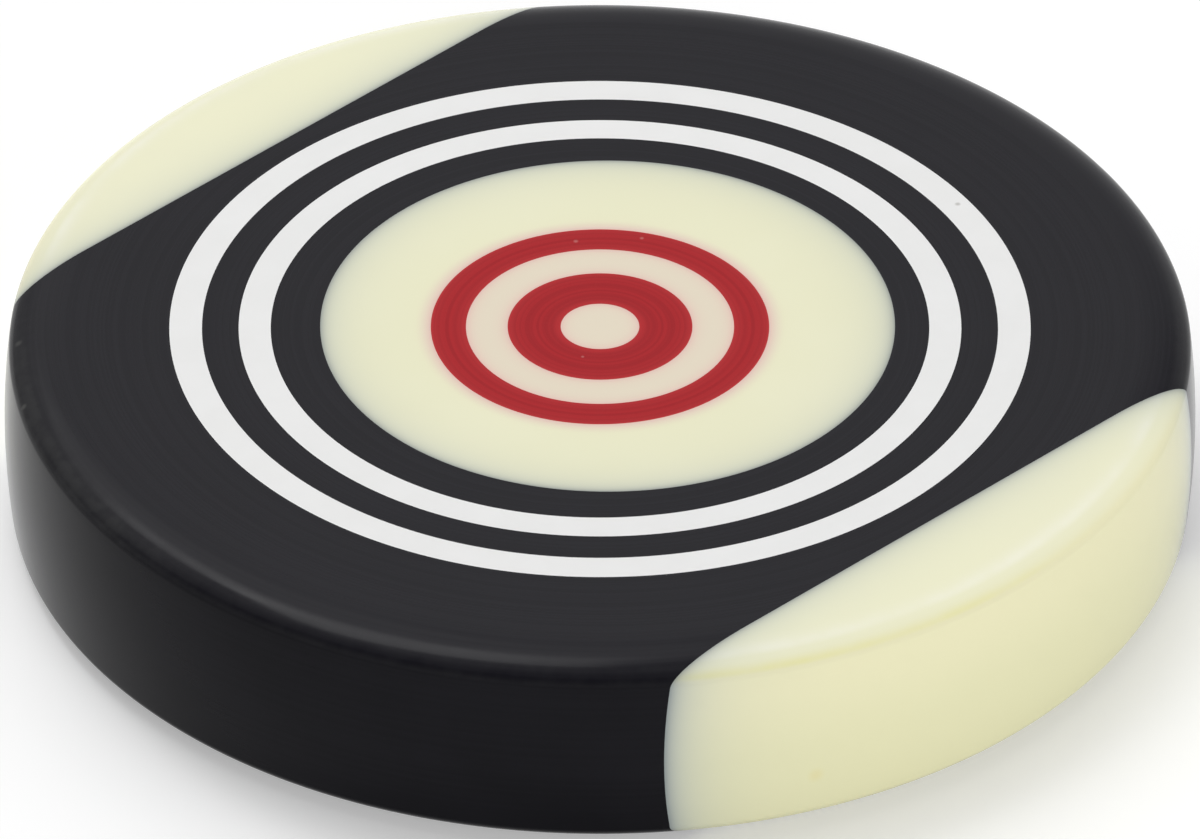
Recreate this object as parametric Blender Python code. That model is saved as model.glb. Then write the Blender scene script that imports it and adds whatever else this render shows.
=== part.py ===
"""A carrom striker: a disc of ivory, black and ivory resin, with rings inlaid flush in both of its faces.

Three resin blocks are glued along two flat joints and turned to a disc with a crowned wall and soft shoulders.
Grooves turned in each face are then filled with white, ivory and red resin, and the face is turned flat again.
Metres, +Z up. The origin is the centre of the lower face, and +X runs along the black slab.
"""

import math

import bmesh
import bpy

# Turned disc: how far the wall bellies out at mid-height, and how the shoulder rolls from face to wall
DIAMETER = 0.0413
THICKNESS = 0.00745
WALL_CROWN = 0.00028
SHOULDER_WIDTH = 0.0019
SHOULDER_DROP = 0.0008

# Ivory segments, each measured from its flat joint to the rim
FRONT_SEGMENT_DEPTH = 0.00444
BACK_SEGMENT_DEPTH = 0.00485

# Widths on a face, from its centre outwards
DOT_RADIUS = 0.00136
INNER_RED_WIDTH = 0.00184
RED_SPACING = 0.00144
OUTER_RED_WIDTH = 0.00122
MEDALLION_MARGIN = 0.00409
BLACK_MARGIN = 0.00145
INNER_WHITE_WIDTH = 0.00111
WHITE_SPACING = 0.00127
OUTER_WHITE_WIDTH = 0.00113

# The upper medallion was let in a little off the centre of the rings
MEDALLION_SHIFT_X = 0.00025
MEDALLION_SHIFT_Y = -0.00012

# Depths below the face, the medallion's being what is left of it under the red grooves
WHITE_DEPTH = 0.001
RED_DEPTH = 0.0008
MEDALLION_FLOOR = 0.0008

# Thickness of the glue between neighbouring pieces
BOND_LINE = 0.00005

# Fineness of the round surfaces
RIM_FACETS = 96
RING_FACETS = 72
RED_FACETS = 48
SHOULDER_STEPS = 5
WALL_STEPS = 4
SHARP_ANGLE = math.radians(30)

# Resin colours and gloss
RESINS = {
    "black_resin": ((0.013, 0.013, 0.016), 0.32),
    "ivory_resin": ((0.790, 0.770, 0.570), 0.35),
    "white_resin": ((0.810, 0.810, 0.800), 0.35),
    "red_resin": ((0.380, 0.030, 0.036), 0.35),
}


def clear_scene():
    for leftover in list(bpy.data.objects):
        bpy.data.objects.remove(leftover, do_unlink=True)


def resin(name):
    """Principled material of one of the resins, made once."""
    found = bpy.data.materials.get(name)
    if found:
        return found
    colour, roughness = RESINS[name]
    material = bpy.data.materials.new(name)
    material.use_nodes = True
    shader = material.node_tree.nodes["Principled BSDF"]
    shader.inputs["Base Color"].default_value = (*colour, 1)
    shader.inputs["Roughness"].default_value = roughness
    shader.inputs["Metallic"].default_value = 0
    return material


def empty(name, parent, height=0, flip=0):
    """A frame to build in, raised by height and turned by flip about X."""
    frame = bpy.data.objects.new(name, None)
    bpy.context.collection.objects.link(frame)
    frame.parent = parent
    frame.location.z = height
    frame.rotation_euler.x = flip
    return frame


def add_object(name, shape, parent, material=None):
    """Object holding a finished bmesh, which is freed. One with no material is a cutter."""
    mesh = bpy.data.meshes.new(name)
    shape.to_mesh(mesh)
    shape.free()
    made = bpy.data.objects.new(name, mesh)
    bpy.context.collection.objects.link(made)
    made.parent = parent
    if material:
        mesh.materials.append(material)
        shade(mesh)
    else:
        made.hide_render = True
        made.display_type = "WIRE"
    return made


def shade(mesh):
    """Smooth shading with crisp edges."""
    mesh.shade_smooth()
    mesh.set_sharp_from_angle(angle=SHARP_ANGLE)


def close_openings(shape):
    """Fills each open edge loop with one flat face, and turns every face outwards."""
    rims = [edge for edge in shape.edges if edge.is_boundary]
    bmesh.ops.holes_fill(shape, edges=rims)
    bmesh.ops.recalc_face_normals(shape, faces=shape.faces)


def lathe(section, facets, is_ring=False):
    """A half section of (radius, height) points turned about Z. A ring's section runs back to its first point."""
    shape = bmesh.new()
    points = [shape.verts.new((radius, 0, height)) for radius, height in section]
    following = points[1:] + points[:1] if is_ring else points[1:]
    edges = [shape.edges.new(ends) for ends in zip(points, following)]
    bmesh.ops.spin(
        shape, geom=points + edges, axis=(0, 0, 1), angle=math.tau, steps=facets, use_merge=True
    )
    close_openings(shape)
    return shape


def ring(inner, outer, top, bottom, facets):
    """A flat ring of rectangular section."""
    section = [(inner, top), (outer, top), (outer, bottom), (inner, bottom)]
    return lathe(section, facets, is_ring=True)


def plug(radius, top, bottom, facets):
    """A short solid cylinder."""
    return lathe([(radius, top), (radius, bottom)], facets)


def wall_radius(height):
    """Radius of the crowned wall at a height above mid-thickness."""
    return DIAMETER / 2 - WALL_CROWN * (height / (THICKNESS / 2)) ** 2


def disc_section():
    """Half section of the turned disc, from the edge of its upper face down to the edge of its lower face."""
    upper = []
    for step in range(SHOULDER_STEPS + 1):
        roll = math.radians(90) * step / SHOULDER_STEPS
        height = THICKNESS / 2 - SHOULDER_DROP * (1 - math.cos(roll))
        inset = SHOULDER_WIDTH * (1 - math.sin(roll))
        upper.append((wall_radius(height) - inset, height))
    crest = upper[-1][1]
    heights = [crest * (1 - 2 * step / WALL_STEPS) for step in range(1, WALL_STEPS)]
    wall = [(wall_radius(height), height) for height in heights]
    lower = [(radius, -height) for radius, height in reversed(upper)]
    return upper + wall + lower


def block(name, joints, material, parent):
    """The turned disc, cut at each flat joint (its place along Y, and the side of it that is cut away)."""
    shape = lathe(disc_section(), RIM_FACETS)
    for place, side in joints:
        everything = shape.verts[:] + shape.edges[:] + shape.faces[:]
        bmesh.ops.bisect_plane(
            shape, geom=everything, plane_co=(0, place, 0), plane_no=(0, side, 0), clear_outer=True
        )
        close_openings(shape)
    return add_object(name, shape, parent, material)


def carve(piece, cutters):
    """Cuts the cutters out of a piece, and keeps the cut mesh as its own."""
    for cutter in cutters:
        cut = piece.modifiers.new(cutter.name, "BOOLEAN")
        cut.operation = "DIFFERENCE"
        cut.solver = "EXACT"
        cut.object = cutter
    graph = bpy.context.evaluated_depsgraph_get()
    carved = bpy.data.meshes.new_from_object(piece.evaluated_get(graph))
    piece.modifiers.clear()
    piece.data = carved
    shade(carved)


def inlaid_ring(name, inner, width, depth, facets, material, face):
    """A ring let into a face, and the cutter of its groove."""
    outer = inner + width
    solid = ring(inner, outer, 0, -depth, facets)
    groove = ring(inner - BOND_LINE, outer + BOND_LINE, depth, -depth - BOND_LINE, facets)
    add_object(name, solid, face, material)
    return add_object(name + "_groove", groove, face)


def inlays(side, face, shift):
    """The five inlays of one face. Returns the cutters of the pockets that they take up in the blocks."""
    red_inner = DOT_RADIUS
    red_outer = red_inner + INNER_RED_WIDTH + RED_SPACING
    medallion_radius = red_outer + OUTER_RED_WIDTH + MEDALLION_MARGIN
    white_inner = medallion_radius + BLACK_MARGIN
    white_outer = white_inner + INNER_WHITE_WIDTH + WHITE_SPACING

    red = resin("red_resin")
    red_grooves = [
        inlaid_ring(side + "_inner_red_ring", red_inner, INNER_RED_WIDTH, RED_DEPTH, RED_FACETS, red, face),
        inlaid_ring(side + "_outer_red_ring", red_outer, OUTER_RED_WIDTH, RED_DEPTH, RED_FACETS, red, face),
    ]

    depth = RED_DEPTH + MEDALLION_FLOOR
    solid = plug(medallion_radius, 0, -depth, RING_FACETS)
    medallion = add_object(side + "_medallion", solid, face, resin("ivory_resin"))
    pocket = plug(medallion_radius + BOND_LINE, depth, -depth - BOND_LINE, RING_FACETS)
    medallion_pocket = add_object(side + "_medallion_pocket", pocket, face)
    for shifted in (medallion, medallion_pocket):
        shifted.location.xy = shift
    carve(medallion, red_grooves)

    white = resin("white_resin")
    return [
        medallion_pocket,
        inlaid_ring(
            side + "_inner_white_ring", white_inner, INNER_WHITE_WIDTH, WHITE_DEPTH, RING_FACETS, white, face
        ),
        inlaid_ring(
            side + "_outer_white_ring", white_outer, OUTER_WHITE_WIDTH, WHITE_DEPTH, RING_FACETS, white, face
        ),
    ]


def main():
    clear_scene()
    striker = empty("carrom_striker", None)
    middle = empty("mid_thickness", striker, THICKNESS / 2)
    upper_face = empty("upper_face", striker, THICKNESS)
    lower_face = empty("lower_face", striker, 0, math.pi)

    front_joint = FRONT_SEGMENT_DEPTH - DIAMETER / 2
    back_joint = DIAMETER / 2 - BACK_SEGMENT_DEPTH
    glue = BOND_LINE / 2
    slab_joints = [(front_joint + glue, -1), (back_joint - glue, 1)]
    blocks = [
        block("black_slab", slab_joints, resin("black_resin"), middle),
        block("front_segment", [(front_joint - glue, 1)], resin("ivory_resin"), middle),
        block("back_segment", [(back_joint + glue, -1)], resin("ivory_resin"), middle),
    ]

    pockets = inlays("top", upper_face, (MEDALLION_SHIFT_X, MEDALLION_SHIFT_Y))
    pockets += inlays("bottom", lower_face, (0, 0))
    for piece in blocks:
        carve(piece, pockets)


main()
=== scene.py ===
"""Looks of a carrom striker: a turned disc of ivory and black resin, with rings inlaid in both faces.

A finer mesh of the same size stands for each piece of the frame, in a resin with turning marks and wear,
and with some painted sheen, highlight and shade.
Metres, +Z up, as in the frame. Materials work in millimetres.
"""

import math

import bmesh
import bpy
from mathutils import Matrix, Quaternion, Vector


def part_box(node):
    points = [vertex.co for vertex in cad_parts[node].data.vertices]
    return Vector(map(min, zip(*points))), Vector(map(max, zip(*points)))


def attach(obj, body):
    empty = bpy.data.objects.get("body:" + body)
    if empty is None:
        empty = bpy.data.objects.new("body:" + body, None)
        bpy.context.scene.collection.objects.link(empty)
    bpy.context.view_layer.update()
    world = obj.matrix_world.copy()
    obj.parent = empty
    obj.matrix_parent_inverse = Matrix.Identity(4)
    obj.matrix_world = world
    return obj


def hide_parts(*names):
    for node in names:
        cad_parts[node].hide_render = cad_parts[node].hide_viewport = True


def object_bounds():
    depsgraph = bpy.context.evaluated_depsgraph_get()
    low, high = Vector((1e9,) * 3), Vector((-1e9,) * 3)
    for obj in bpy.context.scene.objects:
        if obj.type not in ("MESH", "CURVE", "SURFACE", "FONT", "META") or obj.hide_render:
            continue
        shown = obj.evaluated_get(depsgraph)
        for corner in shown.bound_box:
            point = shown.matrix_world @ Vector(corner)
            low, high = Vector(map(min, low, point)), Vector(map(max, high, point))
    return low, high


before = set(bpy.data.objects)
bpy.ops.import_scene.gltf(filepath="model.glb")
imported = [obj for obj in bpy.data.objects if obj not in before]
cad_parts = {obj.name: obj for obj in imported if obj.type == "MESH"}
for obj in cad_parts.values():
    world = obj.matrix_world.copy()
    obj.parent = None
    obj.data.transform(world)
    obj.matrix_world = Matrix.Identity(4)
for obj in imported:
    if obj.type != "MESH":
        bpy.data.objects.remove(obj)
CAD_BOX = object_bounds()

# Disc: overall sizes from the frame, and the section of its rim
LOW_CORNER, HIGH_CORNER = CAD_BOX
RADIUS = (HIGH_CORNER.x - LOW_CORNER.x) / 2
THICKNESS = HIGH_CORNER.z - LOW_CORNER.z
WALL_CROWN = 0.00028
SHOULDER_WIDTH = 0.0019
SHOULDER_DROP = 0.0008

# Millimetres, for the materials: how many make a metre, and the level of the upper face
MM_PER_M = 1000
FACE_LEVEL = THICKNESS * MM_PER_M

# Fineness of the turned surfaces, and the strip beside the shoulder that keeps the face's shading flat
FACETS = 288
SHOULDER_STEPS = 32
WALL_STEPS = 16
GUARD_WIDTH = 0.0002
SHARP_ANGLE = math.radians(30)

# Camera: far off with a long lens, looking at a point on the disc's axis
VIEW_AZIMUTH = math.radians(-44.37)
VIEW_ELEVATION = math.radians(35.322)
VIEW_DISTANCE = 1.1563
VIEW_LIMIT = 100
VIEW_LENS = 1000
SENSOR_WIDTH = 36
AIM_HEIGHT = 0.0035

# Studio: a room that is pale low down, but dim above and on its left, with one bright patch behind the disc
ROOM_LOW = 0.92
ROOM_LEFT = 0.6
ROOM_HIGH = 0.05
ROOM_LOW_TOP = math.radians(10)
ROOM_HIGH_START = math.radians(65)
LEFT_TURN = math.radians(240)
LEFT_CORE = math.radians(30)
LEFT_REACH = math.radians(60)
PATCH_LIGHT = 1.37
PATCH_ELEVATION = math.radians(60)
PATCH_TURN = math.radians(197)
PATCH_CORE = math.radians(2)
PATCH_REACH = math.radians(48)

# Lamps, all aimed at the disc: elevation is above its level, and turn is from the camera's side
BACK_LAMP = {
    "radiance": 4.8,
    "size": (0.20, 0.145),
    "distance": 0.5,
    "elevation": math.radians(70),
    "turn": math.radians(215.8),
    "roll": math.radians(-35.8),
}
SIDE_LAMP = {
    "radiance": 3.7,
    "size": (0.08, 0.13),
    "distance": 0.5,
    "elevation": math.radians(54.5),
    "turn": math.radians(218),
    "roll": math.radians(-9),
}
GLOW_LAMP = {
    "radiance": 1.0,
    "size": (0.40, 0.18),
    "distance": 0.52,
    "elevation": math.radians(55.5),
    "turn": math.radians(195.5),
    "roll": math.radians(-43.6),
}
FILL_LAMP = {
    "radiance": 4.7,
    "size": (0.9, 0.6),
    "distance": 1.5,
    "elevation": math.radians(12),
    "turn": math.radians(27),
    "roll": 0,
}

# Floor: its size, colour and glow, and how close above it a surface counts as lying on it
FLOOR_HALF_WIDTH = 1.5
FLOOR_DROP = 0.00002
FLOOR_WHITE = (0.77, 0.77, 0.77)
FLOOR_GLOW = 0.29
FLOOR_CONTACT = 0.0001

# Resin colours. Groove and land are the low and high places of the turning marks on black, bluer than the
# rest of the black as a painted sheen on the faces
BLACK_DEEP = (0.0044, 0.0042, 0.0060)
BLACK_PALE = (0.0064, 0.0061, 0.0085)
BLACK_GROOVE_SHEEN = (0.0044, 0.0037, 0.0086)
BLACK_LAND_SHEEN = (0.0080, 0.0073, 0.0126)
# Scuffs on black, and a painted sheen that lightens the shoulders' dark reflection; the specks on black use
# it too
BLACK_SCUFF_AND_SHEEN = (0.0300, 0.0300, 0.0315)
BLACK_NICK = (0.1600, 0.1600, 0.1500)
SEGMENT_FACE = (0.855, 0.845, 0.610)
MEDALLION_FACE = (0.815, 0.805, 0.575)
IVORY_CLOUD = (0.835, 0.825, 0.610)
# A whiter ridge along the shoulder: a painted highlight
IVORY_RIDGE_HIGHLIGHT = (0.895, 0.885, 0.720)
IVORY_LINE = (0.830, 0.800, 0.425)
IVORY_CREST = (0.845, 0.815, 0.540)
# Ivory low on the wall, darker as a painted shade towards the floor
IVORY_WALL_FOOT_SHADE = (0.790, 0.772, 0.498)
IVORY_BY_BLACK = (0.450, 0.500, 0.490)
IVORY_AT_BLACK = (0.090, 0.110, 0.140)
IVORY_BY_RED = (0.770, 0.690, 0.550)
IVORY_AT_RED = (0.770, 0.320, 0.360)
IVORY_STAIN = (0.770, 0.690, 0.330)
WHITE_BRIGHT = (0.820, 0.820, 0.815)
WHITE_DULL = (0.770, 0.770, 0.760)
WHITE_PIT = (0.420, 0.400, 0.380)
RED_BRIGHT = (0.395, 0.005, 0.010)
RED_DEEP = (0.325, 0.002, 0.007)
RED_BY_IVORY = (0.480, 0.022, 0.026)
RED_DUST = (0.560, 0.230, 0.220)

# Gloss of the polished resin: strength of the reflections, and roughness on the faces and on the wall
SPECULAR = 0.085
FINE_ROUGHNESS = 0.16
DULL_ROUGHNESS = 0.23
WALL_ROUGHNESS = 0.15

# Turning marks: lines to the millimetre, and the height of their bump in metres
LINES_PER_MM = 7
MARK_HEIGHT = 0.0000001

# Noise: grains or lines to the millimetre
SMEAR_GRAINS = 0.35
BLACK_CLOUD_GRAINS = 0.25
SMUDGE_GRAINS = 1.8
SMUDGE_LINES = 2.5
IVORY_CLOUD_GRAINS = 0.15
IVORY_PATCH_GRAINS = 0.5
WHITE_CLOUD_GRAINS = 0.6

# Noise: levels of detail, and the span that holds most of one noise or of two added up
NOISE_DETAIL = 3.0
LINE_DETAIL = 2.0
SMUDGE_DETAIL = 5.0
NOISE_SPAN = (0.35, 0.65)
PAIR_SPAN = (0.7, 1.3)

# Shares by noise: two values of the noise, and the shares there
SMUDGE_SHARES = (0.75, 1.25, 0.35, 0.8)
IVORY_CLOUD_SHARES = (0.35, 0.7, 0.0, 0.5)
RIDGE_HIGHLIGHT_SHARES = (0.3, 0.7, 0.3, 0.9)
LINE_SHARES = (0.35, 0.65, 0.5, 1.0)
WHITE_CLOUD_SHARES = (0.3, 0.7, 0.0, 0.35)

# Shares by facing, 0 on the wall and 1 on the faces: two facings, and the shares there if not 0 and 1
GLOSS_FACING = (0.1, 0.7)
# Share of the bluer turning lines, a painted sheen, on black's faces
BLACK_SHEEN_FACING = (0.5, 0.95, 0.0, 0.5)
BLACK_LEAK_FACING = (0.2, 0.9, 0.9, 0.6)
IVORY_FACE_FACING = (0.65, 0.94)
# Band of the shoulder that takes scuffs and painted sheen
SCUFF_SHEEN_TOP_FACING = (0.99, 0.88)
SCUFF_SHEEN_FOOT_FACING = (0.30, 0.60)

# Facing where ivory has its painted highlight along the rim, and where it is yellowest, with spreads
RIDGE_HIGHLIGHT_FACING = (0.955, 0.04)
LINE_FACING = (0.71, 0.20)

# Heights in millimetres between which ivory goes from its darker colour low on the wall, a painted shade
# towards the floor, to that of the crest
CREST_HEIGHTS = (3.0, 6.8)

# Colour of a neighbour that shows: the depth in millimetres over which it fades, and its strength
NEAR_BLACK_LEAK = (0.15, 0.55)
FAR_BLACK_LEAK = (0.8, 1.0)
RED_IN_IVORY = (0.18, 0.45)
IVORY_IN_RED = (0.18, 0.7)

# How far outside its red rings a medallion is tinged, in millimetres
RED_TINGE = 0.6

# Specks: spacing and size in millimetres, and the share of places that have one
BLACK_SPECKS = (2.6, 0.05, 0.2)
IVORY_SPECKS = (3.5, 0.2, 0.08)
WHITE_SPECKS = (3.0, 0.1, 0.06)

# Stretches of the rim: middle and reach in millimetres, and the share that is left beyond them
# The worn arc holds the real scuffs; the share left beyond it is painted sheen along the shoulders
WORN_AND_SHEEN_ARC = ((-18.3, 8.0, 7.0), 10.0, 0.3)
LINE_ARC = ((-12.0, -16.3, 7.0), 19.0, 0.0)

# Marks of use: where each one is and how wide, in millimetres
RIM_NICKS = (((-14.7, 13.7, 7.0), 0.22), ((-17.1, 11.0, 6.95), 0.18))
WALL_STAINS = (((-8.2, -19.0, 2.2), 0.40),)
WHITE_PITS = (((14.07, -3.42, FACE_LEVEL), 0.14),)
RED_SPECKS = (
    ((2.99, 4.26, FACE_LEVEL), 0.12),
    ((4.76, 2.79, FACE_LEVEL), 0.10),
    ((-1.70, -0.88, FACE_LEVEL), 0.08),
)

# Strength of the marks and of the specks on ivory
NICK_STRENGTH = 0.3
STAIN_STRENGTH = 0.45
PIT_STRENGTH = 0.7
DUST_STRENGTH = 0.45
SPECK_STRENGTH = 0.2

# Share of the size of a speck, a mark or a stretch in which it is at its full strength
SPECK_CORE = 0.4
MARK_CORE = 0.2
ARC_CORE = 0.3


class Nodes:
    """A node tree in the making, with short ways to add nodes and link them."""

    def __init__(self, tree):
        self.tree = tree

    def feed(self, socket, value):
        """Links a socket to another one, or sets it to a plain value."""
        if isinstance(value, bpy.types.NodeSocket):
            self.tree.links.new(value, socket)
        elif isinstance(value, tuple) and socket.type == "RGBA":
            socket.default_value = (*value, 1)
        else:
            socket.default_value = value

    def node(self, kind, **inputs):
        """A new node. An underscore in an input's name stands for a space."""
        made = self.tree.nodes.new("ShaderNode" + kind)
        for name, value in inputs.items():
            self.feed(made.inputs[name.replace("_", " ")], value)
        return made

    def operate(self, kind, operation, values):
        """Outputs of a new node that works on some values."""
        made = self.node(kind)
        made.operation = operation
        for socket, value in zip(made.inputs, values):
            self.feed(socket, value)
        return made.outputs

    def math(self, operation, *values):
        return self.operate("Math", operation, values)["Value"]

    def product(self, first, *others):
        """All of some values multiplied together."""
        for other in others:
            first = self.math("MULTIPLY", first, other)
        return first

    def dot(self, first, second):
        return self.operate("VectorMath", "DOT_PRODUCT", (first, second))["Value"]

    def distance(self, first, second):
        return self.operate("VectorMath", "DISTANCE", (first, second))["Value"]

    def scaled(self, vector, factors):
        """A vector with each of its parts times its own factor."""
        return self.operate("VectorMath", "MULTIPLY", (vector, factors))["Vector"]

    def axes(self, vector):
        """The three parts of a vector."""
        parts = self.node("SeparateXYZ", Vector=vector).outputs
        return parts["X"], parts["Y"], parts["Z"]

    def ramp(self, value, start, end, first=0.0, last=1.0):
        """Smooth step from first to last as value goes from start to end."""
        made = self.node("MapRange", Value=value, From_Min=start, From_Max=end, To_Min=first, To_Max=last)
        made.interpolation_type = "SMOOTHSTEP"
        return made.outputs["Result"]

    def gap(self, value, centre):
        """How far a value is from a centre."""
        return self.math("ABSOLUTE", self.math("SUBTRACT", value, centre))

    def bell(self, value, centre, spread):
        """1 where value is at the centre, and 0 from the spread outwards."""
        return self.ramp(self.gap(value, centre), spread, 0)

    def decay(self, distance, length, strength):
        """Falls from strength, by a factor e in each length."""
        power = self.math("DIVIDE", distance, -length)
        return self.math("MULTIPLY", self.math("EXPONENT", power), strength)


class Material(Nodes):
    """A material in the making."""

    # Places of the two shaders among the inputs of a Mix Shader node
    FIRST_SHADER, SECOND_SHADER = 1, 2

    def __init__(self, name):
        self.material = bpy.data.materials.new(name)
        self.material.use_nodes = True
        super().__init__(self.material.node_tree)
        self.shader = self.tree.nodes["Principled BSDF"].inputs

    def seen_rays(self):
        """1 for rays that see a thing or its reflection, and 0 for those that take its light elsewhere."""
        path = self.node("LightPath").outputs
        reflected = self.math("MAXIMUM", path["Is Glossy Ray"], path["Is Transmission Ray"])
        return self.math("MAXIMUM", path["Is Camera Ray"], reflected)

    def clear_from_behind(self, contact):
        """Lets through rays from behind, and those from a surface closer in front than contact."""
        nodes = self.tree.nodes
        behind = self.node("NewGeometry").outputs["Backfacing"]
        close = self.math("LESS_THAN", self.node("LightPath").outputs["Ray Length"], contact)
        sides = self.node("MixShader", Fac=self.math("MAXIMUM", behind, close))
        self.feed(sides.inputs[self.FIRST_SHADER], nodes["Principled BSDF"].outputs["BSDF"])
        self.feed(sides.inputs[self.SECOND_SHADER], self.node("BsdfTransparent").outputs["BSDF"])
        self.feed(nodes["Material Output"].inputs["Surface"], sides.outputs["Shader"])


class Resin(Material):
    """A turned and polished resin in the making. Places and distances are in millimetres in the frame."""

    # Places of the sockets of a Mix node that mixes colours
    MIX_SHARE, MIX_FIRST, MIX_SECOND, MIX_RESULT = 0, 6, 7, 2

    def __init__(self, name):
        super().__init__(name)
        self.place = self.scaled(self.node("TexCoord").outputs["Object"], (MM_PER_M,) * 3)
        self.height = self.axes(self.place)[2]
        self.facing = self.upright()
        self.lines = self.turning(LINES_PER_MM)

    def upright(self):
        """How far a surface faces up or down: 1 on the faces, 0 on the wall."""
        normal = self.node("NewGeometry").outputs["Normal"]
        return self.math("ABSOLUTE", self.axes(normal)[2])

    def from_axis(self, centre=(0, 0)):
        """Distance from an upright line through centre."""
        return self.distance(self.scaled(self.place, (1, 1, 0)), (*centre, 0))

    def from_circles(self, radii):
        """Distance from the nearest of some circles round the axis."""
        off_axis = self.from_axis()
        nearest = self.gap(off_axis, radii[0])
        for radius in radii[1:]:
            nearest = self.math("MINIMUM", nearest, self.gap(off_axis, radius))
        return nearest

    def mix(self, share, first, second):
        """The first colour, with a share of the second."""
        made = self.node("Mix")
        made.data_type = "RGBA"
        self.feed(made.inputs[self.MIX_SHARE], share)
        self.feed(made.inputs[self.MIX_FIRST], first)
        self.feed(made.inputs[self.MIX_SECOND], second)
        return made.outputs[self.MIX_RESULT]

    def noise(self, grains, detail=NOISE_DETAIL, vector=None):
        """Cloudy values about one half, with that many grains to the millimetre."""
        made = self.node("TexNoise", Vector=vector or self.place, Scale=grains, Detail=detail)
        return made.outputs["Fac"]

    def turning(self, lines_per_mm):
        """Fine lines round the axis, on the faces and on the wall."""
        section = self.node("CombineXYZ", X=self.from_axis(), Y=self.height).outputs["Vector"]
        return self.noise(lines_per_mm, LINE_DETAIL, section)

    def specks(self, spacing, size, share):
        """Mask of scattered dots, in a share of the cells of a grid of that spacing."""
        cells = self.node("TexVoronoi", Vector=self.place, Scale=1 / spacing)
        dots = self.ramp(cells.outputs["Distance"], size / spacing, SPECK_CORE * size / spacing)
        chosen = self.node("SeparateColor", Color=cells.outputs["Color"]).outputs["Red"]
        return self.product(dots, self.math("LESS_THAN", chosen, share))

    def mark(self, colour, marks, shade, strength):
        """Soft spots of a shade over a colour, where the marks are."""
        for point, width in marks:
            spot = self.ramp(self.distance(self.place, point), width, MARK_CORE * width, 0, strength)
            colour = self.mix(spot, colour, shade)
        return colour

    def near(self, middle, reach, far_share):
        """1 about the middle of a stretch, and a share of that from its reach outwards."""
        return self.ramp(self.distance(self.place, middle), reach, ARC_CORE * reach, far_share, 1.0)

    def finish(self, colour):
        """The material, with its colour and the roughness and bump of the turned, polished resin."""
        dullness = self.math("ADD", self.lines, self.noise(SMEAR_GRAINS))
        on_face = self.ramp(dullness, *PAIR_SPAN, FINE_ROUGHNESS, DULL_ROUGHNESS)
        bump = self.node("Bump", Strength=1.0, Distance=MARK_HEIGHT, Height=self.lines)
        self.shader["Specular IOR Level"].default_value = SPECULAR
        self.feed(self.shader["Base Color"], colour)
        self.feed(self.shader["Roughness"], self.ramp(self.facing, *GLOSS_FACING, WALL_ROUGHNESS, on_face))
        self.feed(self.shader["Normal"], bump.outputs["Normal"])
        return self.material


def scuffs_and_sheen(resin):
    """Share of scuffs and painted sheen on black: smudges along the shoulders, strongest on the worn arc,
    and weaker all round, where they paint a lighter reflection over the shoulders' dark band.
    """
    smudges = resin.math("ADD", resin.noise(SMUDGE_GRAINS, SMUDGE_DETAIL), resin.turning(SMUDGE_LINES))
    off_face = resin.ramp(resin.facing, *SCUFF_SHEEN_TOP_FACING)
    off_wall = resin.ramp(resin.facing, *SCUFF_SHEEN_FOOT_FACING)
    return resin.product(off_face, off_wall, resin.near(*WORN_AND_SHEEN_ARC), resin.ramp(smudges, *SMUDGE_SHARES))


def black_resin(name):
    """Black with faint clouds, bluer lines on the faces as a painted sheen, scuffs and painted sheen on the
    shoulders, and a few nicks and specks.
    """
    resin = Resin(name)
    clouds = resin.math("ADD", resin.noise(BLACK_CLOUD_GRAINS), resin.lines)
    clouded = resin.mix(resin.ramp(clouds, *PAIR_SPAN), BLACK_DEEP, BLACK_PALE)
    # Turning marks on the faces, in a bluer black that is a painted sheen
    lined_sheen = resin.mix(resin.ramp(resin.lines, *NOISE_SPAN), BLACK_GROOVE_SHEEN, BLACK_LAND_SHEEN)
    colour = resin.mix(resin.ramp(resin.facing, *BLACK_SHEEN_FACING), clouded, lined_sheen)
    # Scuffs, and painted sheen along the shoulders
    colour = resin.mix(scuffs_and_sheen(resin), colour, BLACK_SCUFF_AND_SHEEN)
    colour = resin.mix(resin.specks(*BLACK_SPECKS), colour, BLACK_SCUFF_AND_SHEEN)
    return resin.finish(resin.mark(colour, RIM_NICKS, BLACK_NICK, NICK_STRENGTH))


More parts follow.
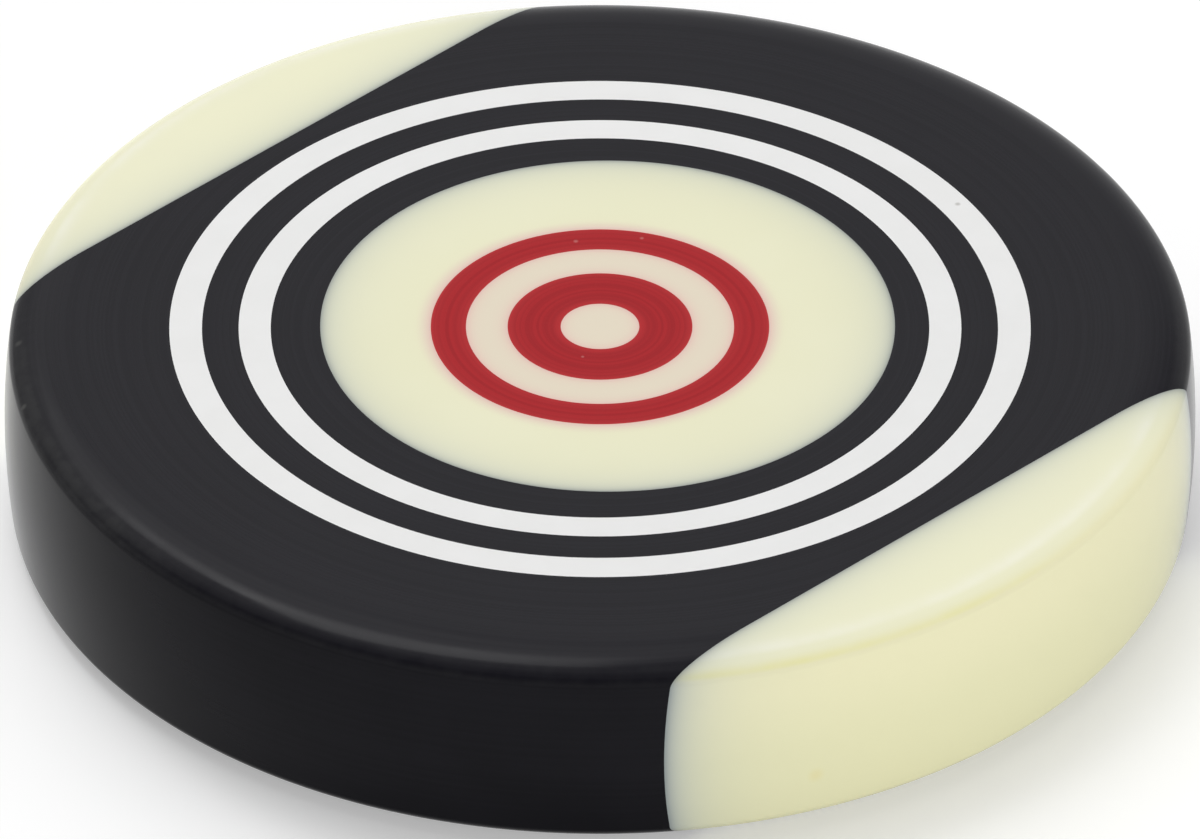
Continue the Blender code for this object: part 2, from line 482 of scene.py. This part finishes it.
def ivory_colour(resin, face, depth):
    """Slightly translucent ivory. Depth is the distance in millimetres from the black resin beside it."""
    facing = resin.facing
    clouds = resin.ramp(resin.noise(IVORY_CLOUD_GRAINS), *IVORY_CLOUD_SHARES)
    clouded = resin.mix(clouds, face, IVORY_CLOUD)
    # The wall darkens towards the floor: painted shade
    wall = resin.mix(resin.ramp(resin.height, *CREST_HEIGHTS), IVORY_WALL_FOOT_SHADE, IVORY_CREST)
    colour = resin.mix(resin.ramp(facing, *IVORY_FACE_FACING), wall, clouded)

    patches = resin.noise(IVORY_PATCH_GRAINS)
    # Painted highlight along the shoulder's ridge, in patches
    ridge_highlight = resin.product(resin.bell(facing, *RIDGE_HIGHLIGHT_FACING), resin.ramp(patches, *RIDGE_HIGHLIGHT_SHARES))
    colour = resin.mix(ridge_highlight, colour, IVORY_RIDGE_HIGHLIGHT)
    line = resin.product(resin.bell(facing, *LINE_FACING), resin.near(*LINE_ARC))
    colour = resin.mix(resin.product(line, resin.ramp(patches, *LINE_SHARES)), colour, IVORY_LINE)

    far = resin.product(resin.decay(depth, *FAR_BLACK_LEAK), resin.ramp(facing, *BLACK_LEAK_FACING))
    colour = resin.mix(far, colour, IVORY_BY_BLACK)
    colour = resin.mix(resin.decay(depth, *NEAR_BLACK_LEAK), colour, IVORY_AT_BLACK)
    spots = resin.ramp(resin.specks(*IVORY_SPECKS), 0, 1, 0, SPECK_STRENGTH)
    return resin.mix(spots, colour, IVORY_STAIN)


def segment_resin(name, joint, side):
    """Ivory of a side segment, whose flat joint lies at that place along Y."""
    resin = Resin(name)
    along_y = resin.axes(resin.place)[1]
    depth = resin.product(resin.math("SUBTRACT", along_y, joint * MM_PER_M), side)
    colour = ivory_colour(resin, SEGMENT_FACE, depth)
    return resin.finish(resin.mark(colour, WALL_STAINS, IVORY_STAIN, STAIN_STRENGTH))


def medallion_resin(name, medallion, red_radii):
    """Ivory of a medallion, pinker beside its red rings and between them."""
    resin = Resin(name)
    off_centre = resin.from_axis(tuple(part * MM_PER_M for part in medallion.centre))
    depth = resin.math("SUBTRACT", medallion.outer * MM_PER_M, off_centre)
    colour = ivory_colour(resin, MEDALLION_FACE, depth)
    widest = max(red_radii)
    tinge = resin.ramp(resin.from_axis(), widest + RED_TINGE, widest)
    colour = resin.mix(tinge, colour, IVORY_BY_RED)
    glow = resin.decay(resin.from_circles(red_radii), *RED_IN_IVORY)
    return resin.finish(resin.mix(glow, colour, IVORY_AT_RED))


def white_resin(name):
    """White with faint clouds and a few grey pits."""
    resin = Resin(name)
    clouds = resin.ramp(resin.noise(WHITE_CLOUD_GRAINS), *WHITE_CLOUD_SHARES)
    colour = resin.mix(clouds, WHITE_BRIGHT, WHITE_DULL)
    colour = resin.mix(resin.specks(*WHITE_SPECKS), colour, WHITE_PIT)
    return resin.finish(resin.mark(colour, WHITE_PITS, WHITE_PIT, PIT_STRENGTH))


def red_resin(name, red_radii):
    """Red with turning lines and a little dust, lighter along its edges."""
    resin = Resin(name)
    colour = resin.mix(resin.ramp(resin.lines, *NOISE_SPAN), RED_BRIGHT, RED_DEEP)
    edges = resin.decay(resin.from_circles(red_radii), *IVORY_IN_RED)
    colour = resin.mix(edges, colour, RED_BY_IVORY)
    return resin.finish(resin.mark(colour, RED_SPECKS, RED_DUST, DUST_STRENGTH))


def wall_radius(level):
    """Radius of the crowned wall at a level above mid-thickness."""
    return RADIUS - WALL_CROWN * (level / (THICKNESS / 2)) ** 2


def rim_section():
    """(radius, height) points down the rim, from the edge of the upper face to that of the lower face."""
    half = THICKNESS / 2
    shoulder = []
    for step in range(SHOULDER_STEPS + 1):
        roll = math.radians(90) * step / SHOULDER_STEPS
        level = half - SHOULDER_DROP * (1 - math.cos(roll))
        inset = SHOULDER_WIDTH * (1 - math.sin(roll))
        shoulder.append((wall_radius(level) - inset, level))
    crest = shoulder[-1][1]
    levels = [crest * (1 - 2 * step / WALL_STEPS) for step in range(1, WALL_STEPS)]
    wall = [(wall_radius(level), level) for level in levels]
    lower = [(radius, -level) for radius, level in reversed(shoulder)]
    section = [(radius, half + level) for radius, level in shoulder + wall + lower]
    guard = section[0][0] - GUARD_WIDTH
    return [(guard, THICKNESS)] + section + [(guard, 0)]


def circle(shape, radius, height, centre=(0, 0)):
    """Vertices of a level circle."""
    turns = [math.tau * step / FACETS for step in range(FACETS)]
    places = [(centre[0] + radius * math.cos(turn), centre[1] + radius * math.sin(turn)) for turn in turns]
    return [shape.verts.new((*place, height)) for place in places]


def turned_solid(section, is_ring=False):
    """Solid through level circles. A ring's section runs back to its first, and others are closed flat."""
    shape = bmesh.new()
    circles = [circle(shape, *entry) for entry in section]
    following = circles[1:] + circles[:1] if is_ring else circles[1:]
    for near, far in zip(circles, following):
        for step in range(FACETS):
            after = (step + 1) % FACETS
            shape.faces.new((near[step], far[step], far[after], near[after]))
    if not is_ring:
        shape.faces.new(circles[0])
        shape.faces.new(circles[-1])
    bmesh.ops.recalc_face_normals(shape, faces=shape.faces)
    return shape


def cut_flat(shape, place, side):
    """Cuts away what lies on that side of a joint along Y, and closes the cut."""
    everything = shape.verts[:] + shape.edges[:] + shape.faces[:]
    bmesh.ops.bisect_plane(
        shape, geom=everything, plane_co=(0, place, 0), plane_no=(0, side, 0), clear_outer=True
    )
    rims = [edge for edge in shape.edges if edge.is_boundary]
    bmesh.ops.holes_fill(shape, edges=rims)
    bmesh.ops.recalc_face_normals(shape, faces=shape.faces)


def add_piece(node, shape, material):
    """Adds the object that holds a finished solid and stands for a node of the frame."""
    mesh = bpy.data.meshes.new("fine_" + node)
    shape.to_mesh(mesh)
    shape.free()
    mesh.materials.append(material)
    mesh.shade_smooth()
    mesh.set_sharp_from_angle(angle=SHARP_ANGLE)
    piece = bpy.data.objects.new("fine_" + node, mesh)
    bpy.context.collection.objects.link(piece)
    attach(piece, "root")
    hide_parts(node)


class Inlay:
    """Sizes of a round inlay of the frame."""

    def __init__(self, node):
        low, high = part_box(node)
        middle = (low + high) / 2
        self.node = node
        self.centre = (middle.x, middle.y)
        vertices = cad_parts[node].data.vertices
        spans = [(vertex.co - middle).xy.length for vertex in vertices]
        self.inner = min(spans)
        self.outer = max(spans)
        self.depth = high.z - low.z


class Face:
    """One face of the disc, with its inlays."""

    def __init__(self, side):
        self.side = side
        self.medallion = Inlay(side + "_medallion")
        self.white_rings = [Inlay(side + "_inner_white_ring"), Inlay(side + "_outer_white_ring")]
        self.red_rings = [Inlay(side + "_inner_red_ring"), Inlay(side + "_outer_red_ring")]

    def height(self, depth):
        """Height of what lies that deep in this face."""
        return THICKNESS - depth if self.side == "top" else depth

    def groove(self, ring):
        """Section of a ring's groove, outwards along the face."""
        face, floor = self.height(0), self.height(ring.depth)
        return [(ring.inner, face), (ring.inner, floor), (ring.outer, floor), (ring.outer, face)]

    def medallion_wall(self):
        """Section of the wall between the medallion and its pocket, from the pocket's floor to the face."""
        medallion = self.medallion
        return [(medallion.outer, self.height(depth), medallion.centre) for depth in (medallion.depth, 0)]

    def pocket(self):
        """Section of the medallion's pocket and the grooves round it, from the pocket's floor outwards."""
        section = self.medallion_wall()
        for ring in self.white_rings:
            section += self.groove(ring)
        return section

    def red_radii(self):
        """Radii of the red rings' edges, in millimetres."""
        return [radius * MM_PER_M for ring in self.red_rings for radius in (ring.inner, ring.outer)]

    def make_inlays(self, white):
        """The medallion, the rings round it in white, and the rings inside it in red."""
        node = self.medallion.node
        section = []
        for ring in self.red_rings:
            section += self.groove(ring)
        section += reversed(self.medallion_wall())
        add_piece(node, turned_solid(section), medallion_resin(node, self.medallion, self.red_radii()))
        red = red_resin(self.side + "_red_rings", self.red_radii())
        for rings, resin in ((self.white_rings, white), (self.red_rings, red)):
            for ring in rings:
                add_piece(ring.node, turned_solid(self.groove(ring), is_ring=True), resin)


def make_blocks(top, bottom):
    """The black slab and the ivory segments, cut from the turned disc at the flat joints."""
    slab_low, slab_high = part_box("black_slab")
    front_joint = (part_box("front_segment")[1].y + slab_low.y) / 2
    back_joint = (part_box("back_segment")[0].y + slab_high.y) / 2
    rim = rim_section()

    slab = turned_solid(top.pocket() + rim + bottom.pocket()[::-1])
    cut_flat(slab, front_joint, -1)
    cut_flat(slab, back_joint, 1)
    add_piece("black_slab", slab, black_resin("black_slab"))

    for node, joint, side in (("front_segment", front_joint, -1), ("back_segment", back_joint, 1)):
        segment = turned_solid(rim)
        cut_flat(segment, joint, -side)
        add_piece(node, segment, segment_resin(node, joint, side))


def direction(elevation, turn):
    """Towards a place in the room, at a turn from the camera's side."""
    azimuth = VIEW_AZIMUTH + turn
    level = math.cos(elevation)
    return Vector((math.sin(azimuth) * level, -math.cos(azimuth) * level, math.sin(elevation)))


def make_world():
    """Light of the room: pale low down, dim above and on the left, with a bright patch behind the disc."""
    world = bpy.data.worlds.new("studio")
    world.use_nodes = True
    room = Nodes(world.node_tree)
    towards = room.node("TexCoord").outputs["Generated"]
    leftward = room.dot(towards, direction(0, LEFT_TURN))
    extra = room.ramp(
        leftward, math.cos(LEFT_REACH), math.cos(LEFT_CORE), ROOM_LOW - ROOM_HIGH, ROOM_LEFT - ROOM_HIGH
    )
    height = room.axes(towards)[2]
    lowness = room.ramp(height, math.sin(ROOM_HIGH_START), math.sin(ROOM_LOW_TOP))
    nearness = room.dot(towards, direction(PATCH_ELEVATION, PATCH_TURN))
    brightest = ROOM_HIGH + PATCH_LIGHT
    high = room.ramp(nearness, math.cos(PATCH_REACH), math.cos(PATCH_CORE), ROOM_HIGH, brightest)
    background = room.tree.nodes["Background"]
    background.inputs["Color"].default_value = (1, 1, 1, 1)
    room.feed(background.inputs["Strength"], room.math("MULTIPLY_ADD", extra, lowness, high))
    bpy.context.scene.world = world


def make_floor():
    """White floor that takes the disc's shadow, and is clear from below so that the lower face shows."""
    surface = Material("floor")
    shader = surface.shader
    shader["Base Color"].default_value = (*FLOOR_WHITE, 1)
    shader["Specular IOR Level"].default_value = 0
    shader["Roughness"].default_value = 1
    shader["Emission Color"].default_value = (1, 1, 1, 1)
    surface.feed(shader["Emission Strength"], surface.product(surface.seen_rays(), FLOOR_GLOW))
    surface.clear_from_behind(FLOOR_CONTACT)

    reach = FLOOR_HALF_WIDTH
    corners = [(-reach, -reach), (reach, -reach), (reach, reach), (-reach, reach)]
    mesh = bpy.data.meshes.new("floor")
    mesh.from_pydata([(*corner, -FLOOR_DROP) for corner in corners], [], [range(len(corners))])
    mesh.materials.append(surface.material)
    floor = bpy.data.objects.new("floor", mesh)
    bpy.context.collection.objects.link(floor)


def place_looking(thing, elevation, turn, distance, aim, roll=0):
    """Puts a camera or lamp off in a direction from the point that it looks at."""
    towards = direction(elevation, turn)
    thing.location = aim + distance * towards
    facing = towards.to_track_quat("Z", "Y") @ Quaternion((0, 0, 1), roll)
    thing.rotation_euler = facing.to_euler()
    bpy.context.collection.objects.link(thing)


def make_lamp(name, radiance, size, distance, elevation, turn, roll):
    """Soft lamp that points at the disc."""
    lamp = bpy.data.lights.new(name, "AREA")
    lamp.shape = "RECTANGLE"
    lamp.size, lamp.size_y = size
    lamp.energy = radiance * math.pi * lamp.size * lamp.size_y
    holder = bpy.data.objects.new(name, lamp)
    holder.visible_camera = False
    place_looking(holder, elevation, turn, distance, Vector((0, 0, 0)), roll)
    return holder


def make_camera():
    """Camera of the main view."""
    camera = bpy.data.cameras.new("camera")
    camera.lens = VIEW_LENS
    camera.sensor_width = SENSOR_WIDTH
    camera.clip_end = VIEW_LIMIT
    holder = bpy.data.objects.new("camera", camera)
    place_looking(holder, VIEW_ELEVATION, 0, VIEW_DISTANCE, Vector((0, 0, AIM_HEIGHT)))
    bpy.context.scene.camera = holder


white = white_resin("white_rings")
faces = [Face("top"), Face("bottom")]
make_blocks(*faces)
for face in faces:
    face.make_inlays(white)
make_world()
make_floor()
make_lamp("back_lamp", **BACK_LAMP)
make_lamp("side_lamp", **SIDE_LAMP)
make_lamp("glow_lamp", **GLOW_LAMP)
# The fill lamp lights the disc from the camera's side, and isn't reflected in it
make_lamp("fill_lamp", **FILL_LAMP).visible_glossy = False
make_camera()
bpy.context.scene.view_settings.view_transform = "Standard"
